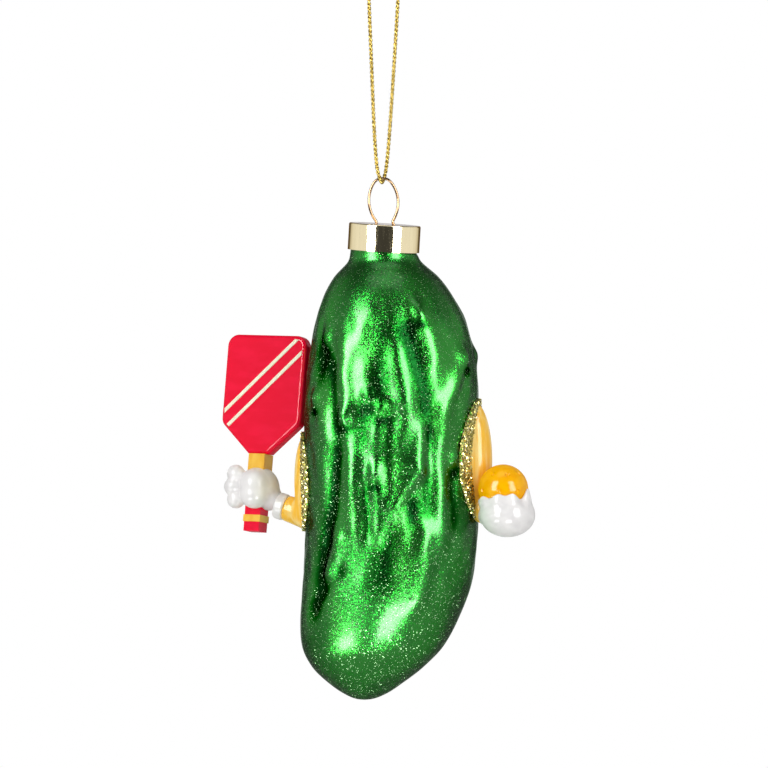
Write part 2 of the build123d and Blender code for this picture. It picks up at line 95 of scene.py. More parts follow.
def ring_faces(rows, columns, first=0):
    """Quads between neighbouring rings, and fans from the two end points that follow the rings."""
    index = first + np.arange(rows * columns).reshape(rows, columns)
    right = np.roll(index, -1, axis=1)
    quads = np.stack([index[:-1], right[:-1], right[1:], index[1:]], axis=-1).reshape(-1, 4)
    start = first + rows * columns
    start_fan = np.stack([right[0], index[0], np.full(columns, start)], axis=-1)
    end_fan = np.stack([index[-1], right[-1], np.full(columns, start + 1)], axis=-1)
    return quads.tolist() + start_fan.tolist() + end_fan.tolist()


def ring_points(grid):
    """The grid's points in order, then the middle of its first ring and the middle of its last."""
    ends = np.stack([grid[0].mean(axis=0), grid[-1].mean(axis=0)])
    return np.concatenate([grid.reshape(-1, 3), ends])


def ring_piece(name, grids):
    """One object from several grids of rings, each closed at both ends."""
    points = []
    faces = []
    count = 0
    for grid in grids:
        points.append(ring_points(grid))
        faces += ring_faces(grid.shape[0], grid.shape[1], count)
        count += len(points[-1])
    print(name, len(faces), "faces")
    return new_piece(name, np.concatenate(points), faces)


def unit(vectors):
    """Each vector divided by its length."""
    return vectors / np.linalg.norm(vectors, axis=-1, keepdims=True)


# %% [markdown]
# The hanging thread
#
# Gold thread is two plies twisted round each other, each wrapped in a narrow shiny tape. A plain tube would
# look like wire. The route is a NURBS line that follows the CAD thread, a tenth of a millimetre wider at its
# lower bend so that the wire eye can swing there, and the two plies wind round the points that Blender gives.

# %% The thread's route
THREAD_ROUTE = [
    (3.6, 0.0, -3.2), (3.6, 0.0, 0.45), (-3.2, 0.0, 0.45), (-2.42, -0.3, -18.9), (-1.43, -0.9, -43.6),
    (-0.25, -1.14, -47.6), (0.25, 1.14, -47.6), (1.21, 0.9, -43.6), (2.86, 0.3, -18.9), (3.6, 0.0, -5.8),
]
THREAD_STEP = 0.09


def spline_points(name, corners, step):
    """Points in millimetres, a step apart, along the NURBS line that has the corners as control points."""
    curve = bpy.data.curves.new(name, "CURVE")
    curve.dimensions = "3D"
    curve.resolution_u = 32
    spline = curve.splines.new("NURBS")
    spline.points.add(len(corners) - 1)
    weighted = np.column_stack([np.array(corners), np.ones(len(corners))])
    spline.points.foreach_set("co", weighted.ravel())
    spline.order_u = 3
    spline.use_endpoint_u = True
    holder = bpy.data.objects.new(name, curve)
    mesh = bpy.data.meshes.new_from_object(holder)
    line = np.empty(len(mesh.vertices) * 3)
    mesh.vertices.foreach_get("co", line)
    line = line.reshape(-1, 3)
    bpy.data.objects.remove(holder)
    bpy.data.curves.remove(curve)
    bpy.data.meshes.remove(mesh)
    along = np.concatenate([[0.0], np.cumsum(np.linalg.norm(np.diff(line, axis=0), axis=1))])
    even = np.linspace(0.0, along[-1], int(along[-1] / step))
    return np.stack([np.interp(even, along, line[:, axis]) for axis in range(3)], axis=1), even


thread_line, thread_along = spline_points("thread_route", THREAD_ROUTE, THREAD_STEP)
print("thread", round(thread_along[-1], 1), "mm in", len(thread_line), "points")

# %% The thread's plies
PLY_LAY = 2.0
PLY_RADIUS = 0.235
PLY_OFFSET = 0.20
TAPE_LAY = 0.42
TAPE_RISE = 0.10
PLY_SIDES = 10


def ply(line, along, start, across):
    """A ply that winds round a line: its middle turns once per lay at the offset, and its skin swells once
    per tape lay, in a circle square to the ply's own direction."""
    forward = unit(np.gradient(line, axis=0))
    side = unit(np.cross(forward, np.array(across)))
    up = np.cross(side, forward)
    turn = (2 * pi * along / PLY_LAY + start)[:, None]
    outward = side * np.cos(turn) + up * np.sin(turn)
    middle = line + PLY_OFFSET * outward
    heading = unit(np.gradient(middle, axis=0))
    first = unit(outward - heading * np.sum(outward * heading, axis=1, keepdims=True))
    second = np.cross(heading, first)
    angle = np.linspace(0.0, 2 * pi, PLY_SIDES, endpoint=False)
    tape = 1.0 + TAPE_RISE * np.cos(2 * pi * along[:, None] / TAPE_LAY - angle)
    spokes = first[:, None] * np.cos(angle)[:, None] + second[:, None] * np.sin(angle)[:, None]
    return middle[:, None] + PLY_RADIUS * tape[..., None] * spokes


def two_plies(line, along, across=(0.0, 1.0, 0.0)):
    """The thread's two plies round a line, half a turn apart."""
    return [ply(line, along, start, across) for start in (0.0, pi)]


thread = ring_piece("thread_loop", two_plies(thread_line, thread_along))

# %% [markdown]
# The knot
#
# The photograph fades out below the knot, so the usual one is made: the thread wound about three times round
# both strands, with two short tails.

# %% The knot
KNOT_CENTRE = np.array([3.6, 0.0, -4.5])
KNOT_HALF_HEIGHT = 1.05
KNOT_TURNS = 3.25
KNOT_RADIUS = 0.78
WINDING_SHARE = 0.72
WINDING_POINTS = 220
TAIL_REACH = 4.7
TAIL_SPREAD = 24.0
TAIL_DROOP = 0.35
TAIL_BOW = 0.25
TAIL_POINTS = 60


def knot_winding():
    """A helix round the strands: the angle runs through the turns while the height falls evenly."""
    share = np.linspace(0.0, 1.0, WINDING_POINTS)
    angle = 2 * pi * KNOT_TURNS * share
    line = np.column_stack([
        KNOT_RADIUS * np.cos(angle),
        KNOT_RADIUS * np.sin(angle),
        KNOT_HALF_HEIGHT * (1.0 - 2.0 * share) * WINDING_SHARE,
    ])
    return KNOT_CENTRE + line, 2 * pi * KNOT_TURNS * KNOT_RADIUS * share


def knot_tail(side):
    """A line from inside the knot outwards, to one side, that droops with the square of its length."""
    share = np.linspace(0.0, 1.0, TAIL_POINTS)
    slope = radians(side * TAIL_SPREAD)
    line = np.column_stack([
        TAIL_REACH * share * cos(slope),
        TAIL_BOW * side * np.sin(pi * share),
        TAIL_REACH * share * sin(slope) - TAIL_DROOP * share**2,
    ])
    return KNOT_CENTRE + line, TAIL_REACH * share


knot_grids = two_plies(*knot_winding(), across=(0.0, 0.0, 1.0))
for tail_side in (1, -1):
    knot_grids += two_plies(*knot_tail(tail_side))
knot = ring_piece("thread_knot", knot_grids)

# %% [markdown]
# The glass pickle
#
# The glass was blown into a mould: a smooth bent body, long swells and furrows down its middle, and round
# warts. The body's half width is read from a few measured rows. Its square is smoothed, because near the
# round end the square falls evenly while the width itself drops off a cliff. Each swell, furrow and wart is
# then a bump of a given rise that fades like a bell across and at both ends.

# %% The pickle's body
PICKLE_FOOT = np.array([0.312, 0.0, -62.669])
PICKLE_LENGTH = 99.0
PICKLE_WIDTH = 38.0
PICKLE_DEPTH = 36.6
GLASS_WALL = 1.9
NECK_RADIUS = 7.2
NECK_BORE = 6.0
NECK_RISE = 5.4
NECK_LEAN = 3.3
# Each row of the body: share of its length, then sideways shift and half width in shares of its width.
BODY_ROWS = np.array([
    (0.000, 0.000, 0.189), (0.026, 0.008, 0.217), (0.060, 0.018, 0.307), (0.100, 0.028, 0.373),
    (0.160, 0.043, 0.438), (0.290, 0.051, 0.497), (0.460, 0.034, 0.495), (0.615, 0.048, 0.500),
    (0.740, 0.022, 0.489), (0.820, -0.024, 0.458), (0.880, -0.062, 0.410), (0.925, -0.090, 0.326),
    (0.960, -0.103, 0.222), (0.985, -0.106, 0.128), (1.000, -0.110, 0.000),
])


def smooth_rows(place, stops, values):
    """A curve through the values at the stops: cubic pieces, each stop's slope taken from its neighbours."""
    before = np.maximum(np.arange(len(stops)) - 1, 0)
    after = np.minimum(np.arange(len(stops)) + 1, len(stops) - 1)
    slopes = (values[after] - values[before]) / (stops[after] - stops[before])
    piece = np.clip(np.searchsorted(stops, place, side="right") - 1, 0, len(stops) - 2)
    width = stops[piece + 1] - stops[piece]
    share = (place - stops[piece]) / width
    leaving = 2 * share**3 - 3 * share**2 + 1
    arriving = 3 * share**2 - 2 * share**3
    level = values[piece] * leaving + values[piece + 1] * arriving
    bend = slopes[piece] * (share**3 - 2 * share**2 + share) + slopes[piece + 1] * (share**3 - share**2)
    return level + width * bend


def body_at(drop):
    """The body's sideways shift and half width, in millimetres, at a drop below the cap's foot."""
    share = np.clip(drop / PICKLE_LENGTH, 0.0, 1.0)
    shift = PICKLE_WIDTH * smooth_rows(share, BODY_ROWS[:, 0], BODY_ROWS[:, 1])
    square = smooth_rows(share, BODY_ROWS[:, 0], BODY_ROWS[:, 2] ** 2)
    return shift, PICKLE_WIDTH * np.sqrt(np.maximum(square, 0.0))


# %% The swells, furrows and warts
# Each row of SWELLS: turn from the viewer towards the ball's side at its top and at its bottom, in degrees,
# drop of its top and of its bottom, half width and rise, in millimetres. A furrow has a negative rise.
SWELLS = [
    (-27, -24, 13, 17, 5.0, 0.45), (-36, -33, 21, 35, 2.2, 0.80), (-53, -50, 31, 52, 2.8, 0.50),
    (3, 10, 22, 30, 2.2, 0.45), (9, 8, 33, 46, 2.8, 0.50), (21, 21, 39, 46, 1.9, 0.75),
    (18, 3, 48, 55, 2.0, 0.80), (36, 34, 39, 60, 3.0, 0.70), (56, 39, 24, 33, 2.1, 0.65),
    (27, 31, 15, 22, 2.2, 0.55), (-10, -10, 38, 45, 1.8, 0.40), (-26, -25, 46, 60, 2.3, 0.80),
    (-9, -9, 53, 60, 2.0, 0.76), (-37, -44, 63, 70, 2.2, 0.75), (21, 23, 62, 75, 2.4, 0.85),
    (-9, -9, 20, 28, 3.4, -0.45), (12, 25, 18, 37, 2.8, -0.60), (1, 1, 37, 46, 2.2, -0.50),
    (-44, -39, 25, 37, 2.2, -0.65), (-38, -52, 45, 70, 2.2, -0.75), (28, 27, 40, 57, 1.9, -0.65),
    (-19, -18, 36, 46, 2.0, -0.35), (11, 17, 53, 60, 2.4, -0.60), (-58, -55, 22, 29, 2.4, -0.55),
    (-17, -16, 53, 60, 1.8, -0.60), (-3, -4, 58, 70, 2.6, -0.40), (-38, -56, 70, 77, 2.4, -0.55),
    (46, 45, 51, 58, 2.0, -0.50),
]
SWELL_FADE = 1.6
FAR_SIDE_DROP = 2.5
# Each wart: its drop and its turn. The last seven are on the far side.
WARTS = [
    (12.3, 23.5), (22.9, 61), (22.8, 92), (19.0, -55), (31.8, -61), (30.8, -16.5), (33.2, -7.5),
    (35.2, -32), (47.8, -9.5), (44.8, 48.5), (16.5, 150), (27, 205), (34, 165), (43.5, 222), (52, 140),
    (58, 190), (70, 160),
]
WART_WIDTH = 1.8
WART_LENGTH = 2.3
WART_RISE = 1.0
MOAT_SHARE = 0.25
MOAT_SPREAD = 2.6
# Painted shade of pooled lacquer: full in a furrow of this depth, and below a wart at these shares of the
# wart's length.
POOL_DEPTH = 0.5
POOL_DROP = 1.4
POOL_LENGTH = 0.5
WRINKLES = 9
WRINKLE_SEED = 5
WRINKLE_RISE = 0.022
WRINKLE_ROUNDS = (14, 26)
WRINKLE_RUN = (9.0, 16.0)
WRINKLES_TOP = 8.0
WRINKLES_TOP_FADE = 6.0
WRINKLES_END = 80.0
WRINKLES_END_FADE = 10.0


def turn_between(first, second):
    """The angle from second to first, in degrees, between -180 and 180."""
    return (first - second + 180.0) % 360.0 - 180.0


def swell_rise(drop, turn, radius, row):
    """One swell: its rise times a bell across it, times a rounded fade over the run's ends."""
    top_turn, end_turn, top, end, half_width, rise_mm = row
    share = np.clip((drop - top) / (end - top), 0.0, 1.0)
    middle = top_turn + (end_turn - top_turn) * share
    across = radians(1.0) * turn_between(turn, middle) * radius / half_width
    beyond = np.maximum(np.maximum(top - drop, drop - end), 0.0) / (SWELL_FADE * half_width)
    return rise_mm * np.exp(-across**2) * np.exp(-beyond**2)


def skin_rise(drop, turn, radius):
    """The swells, added up with the same again on the far side, then the warts, each a bell less a wider and
    weaker bell, its moat, then the painted shade, from 0 to 1, of lacquer pooled in the furrows and below
    each wart."""
    total = np.zeros(np.broadcast(drop, turn).shape)
    for row in SWELLS:
        top_turn, end_turn, top, end, half_width, rise_mm = row
        far_turns = (180 - top_turn, 180 - end_turn)
        far = (*far_turns, top + FAR_SIDE_DROP, end + FAR_SIDE_DROP, half_width, rise_mm)
        total += swell_rise(drop, turn, radius, row)
        total += swell_rise(drop, turn, radius, far)
    bumps = np.zeros_like(total)
    pools = np.clip(-total / POOL_DEPTH, 0.0, 1.0)
    for wart_drop, wart_turn in WARTS:
        across = radians(1.0) * turn_between(turn, wart_turn) * radius / WART_WIDTH
        away = across**2 + ((drop - wart_drop) / WART_LENGTH) ** 2
        bumps += WART_RISE * (np.exp(-away) - MOAT_SHARE * np.exp(-away / MOAT_SPREAD))
        # Painted shade of pooled lacquer just below each wart.
        below = (drop - wart_drop - POOL_DROP * WART_LENGTH) / (POOL_LENGTH * WART_LENGTH)
        pools += np.exp(-across**2 - below**2)
    return total, bumps, np.clip(pools, 0.0, 1.0)


def wrinkles(drop, turn):
    """Fine wrinkles of the warty middle: waves that go a whole number of times round, with random slants."""
    chance = np.random.default_rng(WRINKLE_SEED)
    height = np.zeros(np.broadcast(drop, turn).shape)
    for _ in range(WRINKLES):
        rounds = chance.integers(*WRINKLE_ROUNDS)
        slant = 2 * pi / chance.uniform(*WRINKLE_RUN) * chance.choice([-1.0, 1.0])
        height += np.sin(rounds * np.radians(turn) + slant * drop + chance.uniform(0.0, 2 * pi))
    top_fade = np.clip((drop - WRINKLES_TOP) / WRINKLES_TOP_FADE, 0.0, 1.0)
    end_fade = np.clip((WRINKLES_END - drop) / WRINKLES_END_FADE, 0.0, 1.0)
    return WRINKLE_RISE * (top_fade * end_fade) * height


# %% The glass surface
GLASS_COLUMNS = 288
GLASS_ROWS = 250
BORE_ROWS = 36
BORE_SHARES = (0.04, 0.965)
LEAST_SHARE = 0.02
NECK_FADE = 6.0
# Rows lie closer together towards the round end: the sine of even steps, mixed with even steps.
SINE_SHARE = 0.55
SINE_STEPS = (0.012, 1.0)
SINE_END = 0.9965
EVEN_SHARE = 0.45
EVEN_STEPS = (0.004, 0.99992)
# Rings up the outside of the neck and down its inside: height above the foot and radius.
NECK_RINGS = np.array([
    (0.0, NECK_RADIUS), (2.0, NECK_RADIUS), (4.0, NECK_RADIUS), (NECK_RISE - 0.3, NECK_RADIUS),
    (NECK_RISE - 0.08, NECK_RADIUS - 0.15), (NECK_RISE, NECK_RADIUS - 0.4),
    (NECK_RISE, NECK_BORE + 0.3), (NECK_RISE - 0.3, NECK_BORE), (2.0, NECK_BORE), (0.0, NECK_BORE),
])


def body_points(drop, turn, radius_change):
    """Points of the body: an ellipse at each drop, its half width changed by radius_change."""
    shift, half = body_at(drop)
    angle = np.radians(turn)
    reach = np.maximum(half + radius_change, LEAST_SHARE * half)
    x = PICKLE_FOOT[0] + shift + reach * np.sin(angle)
    y = PICKLE_FOOT[1] - reach * np.cos(angle) * PICKLE_DEPTH / PICKLE_WIDTH
    z = PICKLE_FOOT[2] - drop + 0.0 * turn
    return np.stack([x, y, z], axis=-1)


def neck_rings(heights, radii):
    """Circles square to the neck's leaning axis at heights above the foot."""
    lean = radians(NECK_LEAN)
    axis = np.array([sin(lean), 0.0, cos(lean)])
    side = np.array([cos(lean), 0.0, -sin(lean)])
    angle = np.radians(np.linspace(0.0, 360.0, GLASS_COLUMNS, endpoint=False))
    spokes = np.sin(angle)[:, None] * side + np.cos(angle)[:, None] * np.array([0.0, -1.0, 0.0])
    return PICKLE_FOOT + heights[:, None, None] * axis + radii[:, None, None] * spokes


turn_grid = np.linspace(0.0, 360.0, GLASS_COLUMNS, endpoint=False)[None, :]
sine_rows = PICKLE_LENGTH * np.sin(np.linspace(*SINE_STEPS, GLASS_ROWS) * pi / 2 * SINE_END)[:, None]
even_rows = np.linspace(*EVEN_STEPS, GLASS_ROWS)[:, None]
drop_grid = SINE_SHARE * sine_rows + EVEN_SHARE * PICKLE_LENGTH * even_rows
outer_half = body_at(drop_grid)[1]
swells, warts, pools = skin_rise(drop_grid, turn_grid, outer_half)
fine = wrinkles(drop_grid, turn_grid)
neck_fade = np.clip(drop_grid / NECK_FADE, 0.0, 1.0) ** 2
outer = body_points(drop_grid, turn_grid, neck_fade * (swells + warts + fine))
neck = neck_rings(*NECK_RINGS.T)
inner_drop = np.linspace(*BORE_SHARES, BORE_ROWS)[:, None] * PICKLE_LENGTH
inner = body_points(inner_drop, turn_grid, np.full((BORE_ROWS, 1), -GLASS_WALL))
glass_grid = np.concatenate([outer[::-1], neck, inner])
glass = ring_piece("pickle_skin", [glass_grid])


def point_values(piece, name, values):
    """Keeps one number for each point of a piece, for its material to read."""
    attribute = piece.data.attributes.new(name, "FLOAT", "POINT")
    attribute.data.foreach_set("value", np.asarray(values, dtype=np.float32).ravel())


# The painted shade goes to the lacquer as one value at each point.
pooled = np.zeros(len(glass.data.vertices))
pooled[: outer.shape[0] * GLASS_COLUMNS] = pools[::-1].ravel()
point_values(glass, "pooled", pooled)

# %% [markdown]
# Soft cast forms
#
# The gloves and arms are lumps of resin that run into each other. Each is described by a field, which is the
# distance to a few round forms blended into one. A closed skin is found by looking outwards from a middle
# point: along each direction, the skin is the outermost place where the field changes sign.


# %% Fields and their skins
def ball_field(points, centre, radius):
    """The distance to a sphere's skin, negative inside."""
    return np.linalg.norm(points - centre, axis=-1) - radius


def egg_field(points, centre, halves):
    """Nearly the distance to an upright ellipsoid with the given half sizes, negative inside."""
    local = points - centre
    scaled = np.linalg.norm(local / halves, axis=-1)
    steep = np.linalg.norm(local / halves**2, axis=-1)
    return scaled * (scaled - 1.0) / np.maximum(steep, 1e-9)


def cone_field(points, start, end, start_radius, end_radius, rounding):
    """Nearly the distance to a cone from start to end, cut square at both ends with rounded edges."""
    axis = end - start
    length = np.linalg.norm(axis)
    axis = axis / length
    local = points - start
    along = local @ axis
    off_axis = np.linalg.norm(local - along[..., None] * axis, axis=-1)
    share = np.clip(along / length, 0.0, 1.0)
    side = off_axis - (start_radius + (end_radius - start_radius) * share) + rounding
    cap = np.abs(along - length / 2) - length / 2 + rounding
    outside = np.linalg.norm(np.maximum(np.stack([side, cap], axis=-1), 0.0), axis=-1)
    return outside + np.minimum(np.maximum(side, cap), 0.0) - rounding


def blended(fields, softness):
    """One field from several: minus the softness times the log of the summed exponentials."""
    stacked = np.stack(fields)
    nearest = stacked.min(axis=0)
    return nearest - softness * np.log(np.exp((nearest - stacked) / softness).sum(axis=0))


def glass_field(points):
    """Nearly the distance to the lacquered skin, measured sideways from the body's bent axis."""
    drop = PICKLE_FOOT[2] - points[..., 2]
    shift, half = body_at(drop)
    x = points[..., 0] - PICKLE_FOOT[0] - shift
    y = (points[..., 1] - PICKLE_FOOT[1]) * PICKLE_WIDTH / PICKLE_DEPTH
    turn = np.degrees(np.arctan2(x, -y))
    swells_here, warts_here, _ = skin_rise(drop, turn, half)
    return np.hypot(x, y) - half - swells_here - warts_here


def outward_grid(rows, columns, pole):
    """Unit directions on rings round a pole direction, from near the pole to near its opposite."""
    pole = unit(np.array(pole, dtype=float))
    helper = np.array([0.0, 0.0, 1.0]) if abs(pole[2]) < 0.9 else np.array([1.0, 0.0, 0.0])
    side = unit(np.cross(helper, pole))
    up = np.cross(pole, side)
    polar = np.linspace(0.5 * pi / rows, pi - 0.5 * pi / rows, rows)[:, None, None]
    angle = np.linspace(0.0, 2 * pi, columns, endpoint=False)[None, :, None]
    return np.cos(polar) * pole + np.sin(polar) * (np.cos(angle) * side - np.sin(angle) * up)


def outermost(field, centre, directions, reach, steps=64, halvings=12):
    """Along each direction, the distance of the outermost place where the field turns negative."""
    distances = np.linspace(reach, 0.0, steps)
    samples = np.stack([field(centre + distance * directions) for distance in distances])
    first = np.argmax(samples < 0.0, axis=0)
    outside = distances[np.maximum(first - 1, 0)]
    inside = distances[first]
    for _ in range(halvings):
        middle = (inside + outside) / 2
        within = field(centre + middle[..., None] * directions) < 0.0
        inside = np.where(within, middle, inside)
        outside = np.where(within, outside, middle)
    return inside


def cast_piece(name, field, centre, reach, pole=(0.0, 0.0, 1.0), rows=96, columns=128):
    """A closed skin round the centre, found along every direction of a grid."""
    directions = outward_grid(rows, columns, pole)
    distance = outermost(field, centre, directions, reach)
    return ring_piece(name, [centre + distance[..., None] * directions])


# %% [markdown]
# The arms
#
# Each arm is an almond of resin, glued flat to the glass, that runs into a short sleeve. The part of the form
# that would lie in the glass is taken away by the glass's own field, so the arm sits on the skin.

# %% The arms
SLEEVE_ROOT = 3.3
SLEEVE_RADIUS = 2.8
SLEEVE_LENGTH = 8.0
HEM_ROUNDING = 0.45
GLUE_LINE = 0.1
ARM_SOFTNESS = 0.5
# Each arm: its shoulder, its wrist, the way its sleeve points, half sizes of its almond, the place from the
# shoulder that its skin is looked for from, and how far.
ARMS = {
    "paddle_sleeve": (
        np.array([-16.947, 2.426, -113.569]),
        np.array([-21.187, 5.606, -119.669]),
        np.array([-0.904, 0.321, 0.281]),
        np.array([2.4, 2.4, 10.25]),
        np.array([-2.05, 1.57, -4.7]),
        16.0,
    ),
    "ball_sleeve": (
        np.array([20.132, -3.139, -108.469]),
        np.array([23.052, -5.299, -119.799]),
        np.array([0.684, -0.664, -0.302]),
        np.array([4.1, 4.1, 12.8]),
        np.array([1.7, -0.6, -4.0]),
        22.0,
    ),
}


def arm_field(shoulder, wrist, wrist_aim, halves):
    """An upright egg on the shoulder blended with a sleeve to the wrist, less the glass and its glue line."""

    def field(points):
        almond = egg_field(points, shoulder, halves)
        sleeve = cone_field(
            points, wrist - SLEEVE_LENGTH * wrist_aim, wrist, SLEEVE_ROOT, SLEEVE_RADIUS, HEM_ROUNDING
        )
        return np.maximum(blended([almond, sleeve], ARM_SOFTNESS), GLUE_LINE - glass_field(points))

    return field


paddle_arm, ball_arm = [
    cast_piece(name, arm_field(shoulder, wrist, wrist_aim, halves), shoulder + middle, reach)
    for name, (shoulder, wrist, wrist_aim, halves, middle, reach) in ARMS.items()
]

# %% [markdown]
# The closed glove
#
# The hand round the paddle's handle is a few rounded lobes: the back of the hand, the pad of the thumb in
# front, three curled fingers and the heel of the hand beside the cuff.

# %% The closed glove
FIST_CENTRE = np.array([-28.586, 8.903, -115.370])
FIST_RADIUS = 4.7
FIST_REACH = 11.0
FIST_SOFTNESS = 0.22
FIST_INSET = 0.12
# Each lobe: its place from the middle and its radius, in shares of the fist's radius.
FIST_LOBES = [
    (0.28, 0.0, 0.0, 1.0), (0.09, -0.49, 0.21, 0.72), (0.09, -0.49, -0.26, 0.72),
    (-0.79, -0.17, 0.66, 0.45), (-0.91, -0.17, 0.06, 0.47), (-0.79, -0.17, -0.55, 0.45),
    (0.77, -0.09, -0.47, 0.64),
]


def fist_field(points):
    """The lobes as spheres, softly blended, and set in a little."""
    lobes = [
        ball_field(points, FIST_CENTRE + FIST_RADIUS * np.array(lobe[:3]), FIST_RADIUS * lobe[3])
        for lobe in FIST_LOBES
    ]
    return blended(lobes, FIST_SOFTNESS) + FIST_INSET


fist = cast_piece("closed_glove", fist_field, FIST_CENTRE, FIST_REACH, (1.0, 0.0, 0.0), 120, 150)

# %% [markdown]
# The cupped glove
#
# The other hand is a cup under the ball. Seen from the ball's middle, the cup has an outer skin, found as for
# the other forms, and an inner one just off the ball. They meet at a rim that waves up over the fingertips.

# %% The cupped glove
BALL_CENTRE = np.array([26.551, -8.881, -114.610])
BALL_RADIUS = 5.5
BALL_GAP = 0.12
PALM_CENTRE = np.array([27.457, -9.900, -120.103])
PALM_HALVES = np.array([6.1, 6.1, 4.9])
CUP_WALL = 0.95
CUP_REACH = 13.0
CUP_SOFTNESS = 0.35
SHELL_SHARE = 0.75
CUP_RIM = 76.0
CUP_RIM_DIP = 9.0
RIM_WALL = 0.30
RIM_ROUNDING = 0.16
PAD_DIP = 24.0
PAD_LIFT_SHARE = 0.4
PAD_SINK = 1.0
PAD_RADIUS = 2.35
# Each fingertip: its turn, how far it lifts the rim and its width, in degrees.
FINGERTIPS = [(-52, 10, 17), (-12, 16, 17), (20, 17, 16), (66, 26, 14), (150, 8, 30)]


def from_below(polar, turn):
    """Unit directions at an angle from straight down and a turn from the viewer, both in degrees."""
    polar, turn = np.broadcast_arrays(np.radians(polar), np.radians(turn))
    return np.stack([np.sin(polar) * np.sin(turn), -np.sin(polar) * np.cos(turn), -np.cos(polar)], axis=-1)


def cup_rim(angle):
    """How far the cup reaches from straight down, in degrees, with a bell for each fingertip."""
    reach = np.full_like(angle, CUP_RIM - CUP_RIM_DIP)
    for tip_turn, lift, width in FINGERTIPS:
        reach += lift * np.exp(-((turn_between(angle, tip_turn) / width) ** 2))
    return reach


def cup_field(points):
    """The palm, a shell round the ball and a pad along each finger, softly blended."""
    palm = egg_field(points, PALM_CENTRE, PALM_HALVES)
    shell = ball_field(points, BALL_CENTRE, BALL_RADIUS + CUP_WALL * SHELL_SHARE)
    pads = []
    for tip_turn, lift, _ in FINGERTIPS:
        away = from_below(CUP_RIM - PAD_DIP + lift * PAD_LIFT_SHARE, tip_turn)
        pads.append(ball_field(points, BALL_CENTRE + (BALL_RADIUS - PAD_SINK) * away, PAD_RADIUS))
    return blended([palm, shell] + pads, CUP_SOFTNESS)


def cup_grid(rows=56, columns=144):
    """Rings from the bottom of the outer skin up to the rim, over it and down the inner skin."""
    angle = np.linspace(0.0, 360.0, columns, endpoint=False)[None, :]
    share = np.linspace(0.012, 1.0, rows)[:, None]
    directions = from_below(share * cup_rim(angle), angle)
    skin = outermost(cup_field, BALL_CENTRE, directions, CUP_REACH)
    inside = BALL_RADIUS + BALL_GAP
    rounding = np.sqrt(np.clip((1.0 - share) / RIM_ROUNDING, 0.0, 1.0))
    skin = inside + RIM_WALL + (skin - inside - RIM_WALL) * rounding
    outside_points = BALL_CENTRE + skin[..., None] * directions
    inside_points = BALL_CENTRE + inside * directions
    return np.concatenate([outside_points, inside_points[::-1]])


cupped = ring_piece("cupped_glove", [cup_grid()])

# %% [markdown]
# Coarse glitter
#
# A bead of glue with coarse gold glitter hides each arm's joint. The CAD bead stays as the glue. The glitter
# is real geometry: small six-sided plates scattered over the bead, each turned its own way so that some flash
# and some stay dark.

# %% Glitter plates
FLAKE_RADIUS = 0.21
FLAKE_SIZES = (0.6, 1.15)
FLAKE_SIDES = 6
FLAKE_TILT = 0.75
TILT_SPREAD = 0.6
FLAKE_LIFT = 0.05
FLAKES_EACH = 2600
OUTSIDE_GLASS = 0.12


def mesh_triangles(node):
    """A CAD node's triangles as corner points in millimetres."""
    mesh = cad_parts[node].data
    mesh.calc_loop_triangles()
    points = np.empty(len(mesh.vertices) * 3)
    mesh.vertices.foreach_get("co", points)
    corners = np.empty(len(mesh.loop_triangles) * 3, dtype=np.int32)
    mesh.loop_triangles.foreach_get("vertices", corners)
    return (points.reshape(-1, 3) / MM)[corners.reshape(-1, 3)]


def glitter_piece(name, node, seed):
    """Plates at random places on a node's outer triangles, chosen by area, each tilted off its triangle."""
    chance = np.random.default_rng(seed)
    triangles = mesh_triangles(node)
    a, b, c = triangles[:, 0], triangles[:, 1], triangles[:, 2]
    normals = np.cross(b - a, c - a)
    areas = np.linalg.norm(normals, axis=1)
    shows = glass_field((a + b + c) / 3) > OUTSIDE_GLASS
    weight = areas * shows
    picked = chance.choice(len(triangles), FLAKES_EACH, p=weight / weight.sum())
    r1 = np.sqrt(chance.random(FLAKES_EACH))[:, None]
    r2 = chance.random(FLAKES_EACH)[:, None]
    places = (1 - r1) * a[picked] + r1 * (1 - r2) * b[picked] + r1 * r2 * c[picked]
    upward = unit(normals[picked])
    facing = unit(upward + FLAKE_TILT * chance.normal(0.0, TILT_SPREAD, (FLAKES_EACH, 3)))
    first = unit(np.cross(facing, unit(chance.normal(size=(FLAKES_EACH, 3)))))
    second = np.cross(facing, first)
    size = FLAKE_RADIUS * chance.uniform(*FLAKE_SIZES, FLAKES_EACH)
    angle = np.linspace(0.0, 2 * pi, FLAKE_SIDES, endpoint=False)
    rim = first[:, None] * np.cos(angle)[:, None] + second[:, None] * np.sin(angle)[:, None]
    points = places[:, None] + upward[:, None] * FLAKE_LIFT + size[:, None, None] * rim
    faces = np.arange(FLAKES_EACH * FLAKE_SIDES).reshape(-1, FLAKE_SIDES)
    piece = new_piece(name, points.reshape(-1, 3), faces.tolist())
    piece.data.shade_flat()
    point_values(piece, "flash", np.repeat(chance.random(FLAKES_EACH), FLAKE_SIDES))
    print(name, FLAKES_EACH, "plates")
    return piece


paddle_glitter = glitter_piece("paddle_arm_glitter", "paddle_arm_trim", 11)
ball_glitter = glitter_piece("ball_arm_glitter", "ball_arm_trim", 23)

# %% [markdown]
# Finishes
#
# Shader nodes are sums on sockets. One small class wraps a socket, so that a sum written in Python adds the
# Math nodes it needs. Its add method makes any other node.


